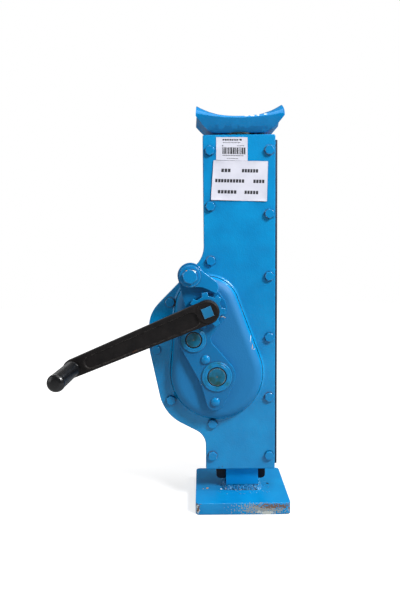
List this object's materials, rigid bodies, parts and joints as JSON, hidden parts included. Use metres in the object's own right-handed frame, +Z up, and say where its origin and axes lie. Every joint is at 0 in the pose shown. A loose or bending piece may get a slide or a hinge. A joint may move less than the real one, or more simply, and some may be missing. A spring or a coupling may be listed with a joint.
{
  "type": "mechanical rack jack",
  "caption": "Upright hand-cranked rack jack: a toothed bar on a base plate, a closed housing that climbs it through gears, a ratchet with pawl, and a swivelling horned saddle.",
  "frame": {"origin": "on the underside of the base plate, under the middle of the housing", "axes": "+Z up along the rack bar; -Y is the crank side; +X is away from the gear bulge"},
  "size_m": [0.3962, 0.284, 0.741],
  "materials": {
    "blue_paint": "satin brushed-on enamel over steel, with chips at edges",
    "black_paint": "satin black over rough forging",
    "greased_steel": "turned steel under grease and thin blue overspray",
    "black_plastic": "glossy moulded sleeve",
    "label_paper": null
  },
  "bodies": {
    "foot": {"base_plate": "blue_paint", "rack_bar": "blue_paint", "foot_weld": "blue_paint"},
    "housing": {"back_plate": "blue_paint", "bearing_bridge": "blue_paint", "bolting_flange": "blue_paint", "bridge_rivet_lower": "blue_paint", "bridge_rivet_upper": "blue_paint", "cover_bolt_01": "blue_paint", "cover_bolt_02": "blue_paint", "cover_bolt_03": "blue_paint", "cover_bolt_04": "blue_paint", "cover_bolt_05": "blue_paint", "cover_bolt_06": "blue_paint", "cover_bolt_07": "blue_paint", "cover_bolt_08": "blue_paint", "cover_bolt_09": "blue_paint", "cover_bolt_10": "blue_paint", "cover_bolt_11": "blue_paint", "cover_bolt_12": "blue_paint", "cover_bolt_13": "blue_paint", "cover_bolt_14": "blue_paint", "front_bush_crank": "greased_steel", "front_bush_layshaft": "greased_steel", "front_bush_main": "greased_steel", "front_cover": "blue_paint", "left_wall": "blue_paint", "lower_guide": "black_paint", "pawl_bolt": "blue_paint", "pawl_washer": "blue_paint", "rack_backing_guide": "greased_steel", "rating_label": "label_paper", "rear_bearing_crank": "blue_paint", "rear_bearing_layshaft": "blue_paint", "rear_bearing_main": "blue_paint", "right_side_bar": "blue_paint", "small_label": "label_paper", "thrust_washer": "greased_steel", "top_plate": "blue_paint"},
    "crank": {"crank_shaft": "greased_steel", "ratchet_wheel": "blue_paint", "crank_arm": "black_paint", "grip_spindle": "greased_steel"},
    "grip": {"crank_grip": "black_plastic"},
    "pawl": {"pawl_lever": "blue_paint"},
    "layshaft_gears": {"layshaft": "greased_steel", "layshaft_gear": "greased_steel"},
    "main_gears": {"main_shaft": "greased_steel", "main_gear": "greased_steel"},
    "saddle": {"load_saddle": "blue_paint", "saddle_retaining_ring": "greased_steel"}
  },
  "joints": [
    {"name": "lift", "type": "slide", "parent": "foot", "child": "housing", "axis": [0, 0, 1], "range_m": [0, 0.35]},
    {"name": "crank_turn", "type": "hinge", "parent": "housing", "child": "crank", "pos_m": [-0.06, 0, 0.3741], "axis": [0, 1, 0], "range_deg": [0, 10440]},
    {"name": "layshaft_turn", "type": "hinge", "parent": "housing", "child": "layshaft_gears", "pos_m": [-0.08486, 0, 0.32004], "axis": [0, 1, 0], "range_deg": [-3220, 0]},
    {"name": "main_turn", "type": "hinge", "parent": "housing", "child": "main_gears", "pos_m": [-0.04383, 0, 0.25283], "axis": [0, 1, 0], "range_deg": [0, 955]},
    {"name": "pawl_lift", "type": "hinge", "parent": "housing", "child": "pawl", "pos_m": [-0.0895, 0, 0.4338], "axis": [0, -1, 0], "range_deg": [-4.6, 75]},
    {"name": "grip_spin", "type": "hinge", "parent": "crank", "child": "grip", "pos_m": [-0.29239, 0, 0.27926], "axis": [0, 1, 0], "continuous": true},
    {"name": "saddle_swivel", "type": "hinge", "parent": "housing", "child": "saddle", "pos_m": [0.0015, 0, 0.6882], "axis": [0, 0, 1], "continuous": true}
  ],
  "couplings": [
    {"joint": "lift", "follows": "crank_turn", "m_per_rad": 0.0019145},
    {"joint": "layshaft_turn", "follows": "crank_turn", "ratio": -0.30769},
    {"joint": "main_turn", "follows": "crank_turn", "ratio": 0.091168}
  ]
}
